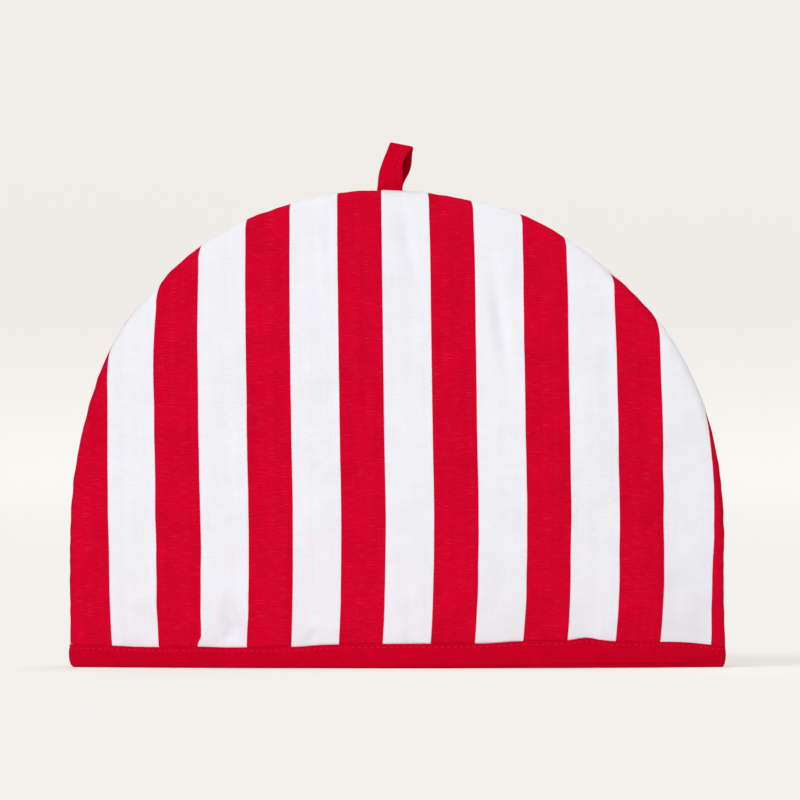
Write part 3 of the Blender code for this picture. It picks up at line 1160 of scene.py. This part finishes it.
        # The same places in the flat cloth
        start = 1.0 - (land + radius * (1.0 - np.sin(lean))) / reach
        arc = radius * (turn - lean)
        drawn = smooth_step(z, *self.drawn_above)
        drawn = drawn - self.let_out * (x > 0) * smooth_fall(z, *self.let_out_below)
        drawn = self.seam_draw * drawn * smooth_fall(inland, 0.0, self.seam_draw_reach)
        flat_x = np.where(roll > 0, start * edge_x + out_x * arc, x) + drawn * out_x
        flat_z = np.where(roll > 0, form.foot + start * (edge_z - form.foot) + out_z * arc, z)
        nip = form.seam_nip(edge_x, edge_z) * smooth_fall(inland, 0.0, self.nip_reach)
        points = np.stack([x - nip * out_x, self.side.value * out, z - nip * out_z], axis=-1)
        return points, self.pattern_place(flat_x, flat_z), share, radius * (end - turn) + inland

    def pattern_place(self, x: Points, z: Points) -> Points:
        """Where a place on the panel lies in the printed cloth.

        The stripes lean a little to the left going up, and draw together at the hem, with a
        small tuck in front.

        Args:
            x: places across, along the cloth.
            z: places up, along the cloth.

        Returns:
            the places across and up in the print.
        """
        place = x + self.stripe_lean * (z - self.lean_height)
        sideways = np.tanh((x - self.hem_draw_middle) / self.hem_draw_width)
        place = place + self.hem_draw * np.exp(-z / self.hem_draw_height) * sideways
        place = place - self.bow * bell(z, self.bow_height, self.bow_width)
        if self.side is Side.FRONT:
            low = self.form.binding_height - self.tuck_under
            tucked = smooth_fall(z, low, low + self.tuck_height)
            tucked = tucked * bell(x, self.tuck_x, self.tuck_width)
            pulled = bell(x, self.pull_x, self.pull_width) - smooth_step(x, *self.pull_back)
            pulled = smooth_fall(z, low, low + self.pull_height) * pulled
            place = place + self.tuck * tucked + self.pull * pulled
        return np.stack([place, z], axis=-1)

    def normals(self, points: Points, face: Face) -> Points:
        """The outward normals of a grid of points.

        Args:
            points: the grid, by its rows and columns.
            face: which face it is.

        Returns:
            one normal for each point.
        """
        normal = unit(np.cross(np.gradient(points, axis=1), np.gradient(points, axis=0)))
        out = self.side.value * (1.0 if face is Face.OUTER else -1.0)
        middle = normal[normal.shape[0] // 2, normal.shape[1] // 2, 1]
        return normal if middle * out > 0 else -normal

    def waves(self, length: float, depth: float, step: int) -> Ripple:
        """This panel's own waves of one kind, from a row in millimetres."""
        return Ripple(length * MM, depth * MM, self.seed + step)

    def relief(self, points: Points, share: Points, inset: Points, face: Face) -> Points:
        """How far the cloth rises from its plain surface.

        Args:
            points: the plain surface.
            share: the points' shares of the seam.
            inset: how far in from the seam they lie.
            face: which face.

        Returns:
            heights along the normals.
        """
        x, z = points[..., 0], points[..., 2]
        free = smooth_step(z, *(self.form.binding_height + over for over in self.free_start))
        held = free * smooth_step(inset, *self.wave_start)
        rise = held * sum(
            self.waves(*row).over(x + slant * z, drawn_out * z) for row, (slant, drawn_out) in SOFT_WAVES
        )
        laid = sum(crease.over(x, z) for crease in self.creases) * smooth_step(z, *self.crease_start)
        if face is Face.INNER:
            lining = self.waves(*LINING_WAVES).over(x, z) * held
            return lining - rise - self.crease_share * laid
        _, _, along = self.form.seam_at(share)
        return rise + self.seam_pull(along, inset) * free + self.hem_crown(x, z) + laid

    def seam_pull(self, along: Points, inset: Points) -> Points:
        """The heights of the small puckers that the seam draws into the roll and the face's edge."""
        tight = self.waves(*SEAM_PUCKERS).along(along) * band(inset, *self.pucker_reach)
        return tight + self.waves(*SEAM_WAVES).along(along) * band(inset, *self.seam_wave_reach)

    def hem_crown(self, x: Points, z: Points) -> Points:
        """The wadding's swell just over the binding, with its small gathers.

        Args:
            x: places across.
            z: places up.

        Returns:
            heights.
        """
        swell = band(z - self.form.binding_top(x, self.side), *self.crown_reach)
        ends = smooth_fall(np.abs(x), *(share * self.form.half_width for share in self.crown_ends))
        return swell * ends * (self.crown + self.waves(*HEM_GATHERS).along(x))

    def held_apart(self, points: Points) -> Points:
        """Keeps the panel on its own side of the seam and clear of the loop's ends.

        Args:
            points: the panel's points.

        Returns:
            their y.
        """
        past = np.abs(points[..., 0] - self.loop_x) - self.loop_half_room
        room = self.loop_room * smooth_fall(past, 0.0, self.loop_room_fade)
        room = self.seam_half_gap + room * (points[..., 2] > self.form.height - self.loop_root)
        return self.side.value * np.maximum(self.side.value * points[..., 1], room)


@dataclass
class HemBinding:
    """The folded strip round the mouth, with its topstitching."""

    form: CosyForm
    cloth: Material
    thread: Material
    stitch: StitchStyle = StitchStyle(1.9 * MM, 1.5 * MM, 0.22 * MM)
    steps: int = 470
    face_samples: int = 400
    corner_samples: int = 60
    stitch_drop: float = 1.9 * MM
    groove: float = 0.20 * MM
    front_folds: tuple[Span, ...] = ((-14.0 * MM, 155.0 * MM),)
    back_folds: tuple[Span, ...] = ((-118.0 * MM, -52.0 * MM), (18.0 * MM, 49.0 * MM))
    fold_fade: float = 9.0 * MM
    fold_rise: float = 0.9 * MM
    fold_rise_start: Span = (40.0 * MM, 105.0 * MM)
    fold_height: float = 1.65 * MM
    edge_turn: float = 6.0 * MM
    lift_turn: float = 12.0 * MM
    puffs: Ripple = Ripple(25.0 * MM, 0.16 * MM, 41)
    puff_start: Span = (2.2 * MM, 3.0 * MM)
    puff_ends: float = 12.0 * MM

    def build(self) -> list[Piece]:
        """Shapes the strip and sews it on.

        Returns:
            the strip and its stitches.
        """
        strip = Shaper.grid("folded_binding", *self.rings())
        Shaper.map_cloth(strip)
        Shaper.edit_all(strip, bpy.ops.mesh.remove_doubles, threshold=1e-6)
        Shaper.finish(strip, self.cloth)
        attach(strip, BODY)
        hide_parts("hem_binding")
        stitches = self.sew()
        self.path[-1, 4]
        return [strip, stitches]

    @cached_property
    def path(self) -> Points:
        """The hem's middle line, evenly spaced, from the left and round the front first.

        Returns:
            rows of x, y, the outward direction's x and y, and the length so far.
        """
        across = np.linspace(0.0, 1.0, self.face_samples)
        corner = np.linspace(0.0, 1.0, self.corner_samples + 1)[1:]
        x, out = self.form.hem_line(
            np.concatenate([across, np.ones_like(corner)]),
            np.concatenate([np.zeros_like(across), corner]), 0.0,
        )
        x, out = np.concatenate([-x[:0:-1], x]), np.concatenate([out[:0:-1], out])
        low = np.zeros_like(x)
        front, back = (side.value * (out + self.form.hem_wave(x, low, side)) for side in Side)
        line = np.array([np.concatenate([x, x[-2::-1]]), np.concatenate([front, back[-2::-1]])])
        along = lengths_along(line.T)
        even = np.linspace(0.0, along[-1], self.steps + 1)
        line = np.stack([np.interp(even, along, row) for row in line], axis=1)
        ahead = np.roll(line[:-1], -1, axis=0) - np.roll(line[:-1], 1, axis=0)
        ahead = np.concatenate([ahead, ahead[:1]])
        outward = unit(np.stack([ahead[:, 1], -ahead[:, 0]], axis=1))
        return np.concatenate([line, outward, even[:, None]], axis=1)

    @staticmethod
    def either(y: Points, reach: float, front: Points, back: Points) -> Points:
        """The front's values, which pass into the back's at the hem's two ends."""
        return front + (back - front) * smooth_step(y, -reach, reach)

    def height_at(self, x: Points, y: Points) -> Points:
        """The strip's upper edge, all round."""
        return self.either(y, self.edge_turn, *(self.form.binding_top(x, side) for side in Side))

    def lift(self, x: Points, y: Points) -> Points:
        """How far the hem hangs clear of what the cosy stands on, all round."""
        low = np.zeros_like(x)
        return self.either(y, self.lift_turn, *(self.form.hem_lift(x, low, side) for side in Side))

    def fold_at(self, x: Points, y: Points) -> Points:
        """How far the outer layer's fold stands over the layer under it.

        Args:
            x: places across.
            y: places from front to back.

        Returns:
            1 along some runs, else 0.
        """
        fade = self.fold_fade
        shares = [
            sum(band(x, start - fade, start + fade, end - fade, end + fade) for start, end in runs)
            for runs in (self.front_folds, self.back_folds)
        ]
        return np.where(y < 0, *shares)

    def fold_lift(self, x: Points, y: Points) -> Points:
        """How much higher the fold runs than elsewhere: more towards the front's right."""
        return self.fold_rise * smooth_step(x, *self.fold_rise_start) * (y < 0)

    def profile(self) -> Points:
        """The strip's closed section: down its inner leg, up its outer one, then back within.

        Returns:
            rows of the distance out from the hem's middle, the height as a share of the strip's
            own height, the height added to that, and how far a full fold moves the place out.
        """
        tape, inside = self.form.tape, self.form.pressed_half + self.form.clear
        outside = inside + tape
        leg = [(inside + out * tape, 1.0, up * tape, 0.0) for out, up in BOUND_EDGE]
        leg += [
            (outside - deep * self.groove, 1.0, up * MM - self.stitch_drop, 0.0)
            for deep, up in BOUND_GROOVE
        ]
        leg += [(outside + out * MM, share, 0.0, 0.0) for out, share in BOUND_LEG]
        leg += [(outside + out * MM, 0.0, up * MM, fold * MM) for out, up, fold in BOUND_FOLD]
        within = [(out * inside, share, up * tape, 0.0) for out, share, up in BOUND_WITHIN]
        leg, within = np.array(leg), np.array(within)
        mirror = np.array([-1.0, 1.0, 1.0, 0.0])
        under, over = [[0.0, 0.0, 0.0, 0.0]], [[0.0, 0.0, tape, 0.0]]
        back_leg, back_within = leg * mirror, (within * mirror)[::-1]
        return np.concatenate([back_leg, under, leg[::-1], within, over, back_within, back_leg[:1]])

    def rings(self) -> tuple[Points, Points]:
        """The strip's sections all round.

        Returns:
            their points, and the points' places in the flat cloth.
        """
        x, y, out_x, out_y, along = self.path.T[:, :, None]
        section = self.profile()
        outer = smooth_step(np.abs(section[:, 0]), *self.puff_start)
        folded = np.clip(section[:, 2] / self.fold_height, 0.0, 1.0) * (section[:, 3] != 0.0)
        out = section[:, 0] + self.puff(along) * outer + self.fold_at(x, y) * section[:, 3]
        rise = section[:, 1] * self.height_at(x, y) + section[:, 2] + self.lift(x, y)
        rise = rise + self.fold_lift(x, y) * folded
        rings = np.stack([x + out * out_x, y + out * out_y, rise], axis=-1)
        rings[..., 2] += self.form.tip_rise(rings[..., 0], rings[..., 2], 0.0)
        rings[-1] = rings[0]
        height = section[:, 1] * self.form.binding_height + section[:, 2]
        girth = lengths_along(np.stack([section[:, 0], height], axis=1))
        return rings, np.stack(np.broadcast_arrays(along, girth), axis=-1)

    def puff(self, along: Points) -> Points:
        """How far the strip's outside swells here and there; nothing where its ends meet."""
        ends = np.minimum(along, self.path[-1, 4] - along)
        return self.puffs.along(along) * smooth_step(ends, 0.0, self.puff_ends)

    def sew(self) -> Piece:
        """The line of stitches round the outside of the strip.

        Returns:
            the stitches.
        """
        x, y, out_x, out_y, along = self.path.T
        reach = self.form.hem_leg - self.groove + self.puff(along)
        height = self.height_at(x, y) - self.stitch_drop + self.lift(x, y)
        line = np.stack([x + reach * out_x, y + reach * out_y, height], axis=1)
        outward = np.stack([out_x, out_y, np.zeros_like(out_x)], axis=1)
        row = StitchLine("binding_stitches", line, outward, self.stitch, self.thread, "binding_red")
        return row.build()


@dataclass
class StitchLine:
    """A row of stitches along a line."""

    name: str
    line: Points
    outward: Points
    style: StitchStyle
    thread: Material
    slot: str
    sight: float = 0.3

    def build(self) -> Piece:
        """Models one stitch, copies it along the line and joins the copies.

        Returns:
            the row.
        """
        along = lengths_along(self.line)
        count = int(along[-1] / (self.style.length + self.style.gap))
        pitch = along[-1] / count
        one = self.one_stitch()
        pattern = np.array([vertex.co for vertex in one.data.vertices])
        Shaper.lay_flat(one, pattern[:, [0, 2]])
        copies = []
        for place in (np.arange(count) + 0.5) * pitch:
            before, middle, after = (
                self.at(along, self.line, place + step * pitch) for step in (-self.sight, 0.0, self.sight)
            )
            ahead = unit(after - before)
            outward = self.at(along, self.outward, place)
            outward = unit(outward - ahead * (outward @ ahead))
            axes = np.stack([ahead, np.cross(outward, ahead), outward])
            copy = one.copy()
            copy.data = one.data.copy()
            copy.data.vertices.foreach_set("co", (middle + pattern @ axes).astype(np.float32).ravel())
            bpy.context.scene.collection.objects.link(copy)
            copies.append(copy)
        bpy.data.objects.remove(one)
        row = Shaper.join(copies)
        row.name = row.data.name = self.name
        Shaper.map_cloth(row)
        row.data.shade_smooth()
        row.data.materials.append(self.thread)
        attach(row, BODY)
        return row

    @staticmethod
    def at(along: Points, values: Points, place: float) -> Points:
        """The value at a place along the line."""
        return np.array([np.interp(place, along, values[:, axis]) for axis in range(3)])

    def one_stitch(self) -> Piece:
        """One stitch lying along X: a thread that dives into the cloth at both ends.

        Returns:
            the stitch.
        """
        bpy.ops.object.select_all(action="DESELECT")
        bpy.ops.mesh.primitive_cylinder_add(
            vertices=self.style.sides, radius=self.style.radius, depth=self.style.length,
            rotation=(0.0, math.pi / 2.0, 0.0),
        )
        one = bpy.context.active_object
        bpy.ops.object.transform_apply(location=True, rotation=True, scale=True)
        half, straight = self.style.length / 2.0, self.style.straight
        whole = (bpy.ops.mesh.select_all, {"action": "SELECT"})
        left, right = (
            (bpy.ops.mesh.bisect, {"plane_co": (place * half, 0.0, 0.0), "plane_no": (1.0, 0.0, 0.0)})
            for place in (-straight, straight)
        )
        Shaper.edit(one, whole, left, whole, right)
        for vertex in one.data.vertices:
            end = max(abs(vertex.co.x) / half - straight, 0.0) / (1.0 - straight)
            vertex.co.z -= self.style.dive * self.style.radius * end
            vertex.co.y *= 1.0 - self.style.narrowing * end
        return one


@dataclass
class HangingLoop:
    """The loop of folded tape at the top, both ends caught in the seam."""

    form: CosyForm
    cloth: Material
    # The tape's inner side takes a darker copy of its cloth: painted shade between the loop's legs
    painted_shade_cloth: Material
    thread: Material
    stitch: StitchStyle = StitchStyle(1.9 * MM, 0.9 * MM, 0.14 * MM)
    x: float = -4.1 * MM
    rise: float = 23.4 * MM
    width: float = 13.4 * MM
    tape: float = 1.5 * MM
    root: float = 6.5 * MM
    front_spread: float = 1.3 * MM
    back_spread: float = 4.4 * MM
    front_aside: float = -0.35 * MM
    sway: float = 6.5 * MM
    tilt: float = math.radians(12.0)
    twist: float = math.radians(38.0)
    fold_twist: float = math.radians(24.0)
    nod: float = 6.5 * MM
    fold_share: float = 0.12
    front_belly: float = 1.15
    front_flatness: float = 0.7
    back_belly: float = 0.82
    sway_power: float = 1.25
    nod_power: int = 3
    twist_run: Span = (0.0, 0.6)
    fold_twist_run: Span = (0.75, 1.0)
    width_change: float = 0.02
    width_turns: float = 9.0
    rows: int = 170
    sewn_run: Span = (-0.86, -0.14)
    sewn_rows: int = 60
    sewn_inset: float = 1.9 * MM

    def build(self) -> list[Piece]:
        """Shapes the tape and its edge stitching.

        Returns:
            the tape and its stitches.
        """
        along = np.linspace(-1.0, 1.0, self.rows)[:, None]
        section = self.profile()
        points = self.placed(section[:, 0], along, section[:, 1])
        length = along * (self.rise + self.root)
        flat = np.stack(np.broadcast_arrays(lengths_along(section), length), axis=-1)
        loop = Shaper.grid("tape_loop", points, flat)
        self.mark_painted_shade_side(loop, section[:, 1])
        Shaper.map_cloth(loop)
        Shaper.edit_all(loop, bpy.ops.mesh.remove_doubles, threshold=1e-6)
        Shaper.edit_open_edges(loop, bpy.ops.mesh.edge_face_add)
        Shaper.finish(loop, self.cloth, self.painted_shade_cloth)
        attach(loop, BODY)
        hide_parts("hanging_loop")
        stitches = self.sew()
        return [loop, stitches]

    def mark_painted_shade_side(self, loop: Piece, offs: Points) -> None:
        """Gives the inner side's faces the second material, a darker painted shade, from how far out each
        column lies.
        """
        middle = offs[Shaper.corners(loop.data) % len(offs)].reshape(-1, 4).mean(axis=1)
        loop.data.polygons.foreach_set("material_index", (middle < -0.3 * self.tape).astype(np.int32))

    def profile(self) -> Points:
        """The folded tape's closed section.

        Returns:
            rows of the distances across, and out from the tape's middle surface.
        """
        half, thick = self.width / 2.0, self.tape / 2.0
        upper = [(-half + inwards * MM, out * thick) for inwards, out in TAPE_FOLDED_EDGE]
        upper += [(place * half, thick) for place in TAPE_FLAT]
        upper += [(half - inwards * MM, out * thick) for inwards, out in TAPE_OPEN_EDGE]
        lower = [(across, -out) for across, out in upper[:0:-1]]
        return np.array(upper + [(half - TAPE_SLIT * MM, 0.0)] + lower + upper[:1])

    def line(self, along: Points) -> tuple[Points, Points, Points]:
        """The tape's middle line, from -1 at the front end, over 0 at the fold, to 1 at the back.

        Args:
            along: places along the tape.

        Returns:
            the height over the dome, the distance from the seam's plane, and how far the leg
            stands to one side.
        """
        fold_radius = (self.tape + self.form.clear) / 2.0
        shoulder = self.rise - self.tape / 2.0 - fold_radius
        down, front = np.abs(along), along < 0
        turn = math.pi / 2.0 * np.minimum(down / self.fold_share, 1.0)
        leg = shoulder - (down - self.fold_share) / (1.0 - self.fold_share) * (shoulder + self.root)
        height = np.where(down < self.fold_share, shoulder + fold_radius * np.cos(turn), leg)
        part = np.clip(leg / shoulder, 0.0, 1.0)
        flat_belly = np.sin(math.pi * part**self.front_belly) ** self.front_flatness
        opened = np.where(front, flat_belly, np.sin(math.pi * part**self.back_belly))
        opened = np.where(down < self.fold_share, 0.0, opened)
        out = fold_radius * np.sin(turn) + np.where(front, self.front_spread, self.back_spread) * opened
        return height, np.copysign(out, along), np.where(front, self.front_aside, 0.0) * opened

    def placed(self, across: Points, along: Points, off: Points) -> Points:
        """The tape's points.

        Args:
            across: distances from the tape's middle, in metres.
            along: from -1 at the front end, over 0 at the fold, to 1 at the back end.
            off: distances out from the tape's middle surface.

        Returns:
            the points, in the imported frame.
        """
        step = 0.002
        height, out, aside = self.line(along)
        (height_0, out_0, _), (height_1, out_1, _) = self.line(along - step), self.line(along + step)
        length = np.hypot(height_1 - height_0, out_1 - out_0)
        rise = np.maximum(height, 0.0) / self.rise
        height = height + off * (out_1 - out_0) / length
        out = out - off * (height_1 - height_0) / length
        turn = self.twist * smooth_step(rise, *self.twist_run)
        turn = turn + (self.fold_twist - self.twist) * smooth_step(rise, *self.fold_twist_run)
        side = across * (1.0 + self.width_change * np.sin(self.width_turns * along))
        x = side * np.cos(turn) + out * np.sin(turn) + aside
        y = out * np.cos(turn) - side * np.sin(turn) - self.nod * rise**self.nod_power
        lean = self.tilt * rise
        x_row = self.x + self.sway * rise**self.sway_power + x * np.cos(lean)
        z_row = self.form.height + height - x * np.sin(lean)
        return np.stack(np.broadcast_arrays(x_row, y, z_row), axis=-1)

    def sew(self) -> Piece:
        """One line of stitches down the tape's open side, on the face that shows.

        Returns:
            the stitches.
        """
        along = np.linspace(*self.sewn_run, self.sewn_rows)
        edge = self.width / 2.0 - self.sewn_inset
        line = self.placed(edge, along, self.tape / 2.0)
        outward = unit(line - self.placed(edge, along, 0.0))
        row = StitchLine("loop_stitches", line, outward, self.stitch, self.thread, "loop_red")
        return row.build()


def main() -> None:
    """Builds the studio and the cosy, and reports each piece."""
    logging.basicConfig(level=logging.INFO, format="%(name)s %(message)s")
    Studio().build()
    form = CosyForm.from_frame()
    front = StripedCotton("front_striped_cotton", 18.5 * MM).material()
    back = StripedCotton("back_striped_cotton", 32.3 * MM).material()
    inside = PlainCotton("inner_cotton", (0.80, 0.78, 0.74), (0.86, 0.85, 0.82)).material()
    red, slub_red, fine = (0.620, 0.0006, 0.0210), (0.68, 0.010, 0.040), Weave(slub=0.12)
    strip = PlainCotton("binding_cotton", red, slub_red, Weave(slub=0.12, bias=True)).material()
    tape = PlainCotton("loop_cotton", red, slub_red, fine).material()
    # A darker red for the loop's inner side: painted shade for the shadow between the tape's legs
    painted_shade_red, painted_shade_slub = (0.36, 0.0005, 0.010), (0.42, 0.006, 0.020)
    tape_painted_shade = PlainCotton("loop_painted_shade_cotton", painted_shade_red, painted_shade_slub, fine).material()
    thread = Thread("red_thread", (0.80, 0.014, 0.052)).material()
    front_creases, back_creases = Crease.laid(FRONT_CREASES), Crease.laid(BACK_CREASES)
    pieces = [
        PaddedPanel("panel_front", form, Side.FRONT, front, inside, 11, front_creases).build(),
        PaddedPanel("panel_back", form, Side.BACK, back, inside, 23, back_creases).build(),
        *HemBinding(form, strip, thread).build(),
        *HangingLoop(form, tape, tape_painted_shade, thread).build(),
    ]
    for piece in pieces:
        LOG.info("%s: %d faces", piece.name, len(piece.data.polygons))


if __name__ == "__main__":
    main()
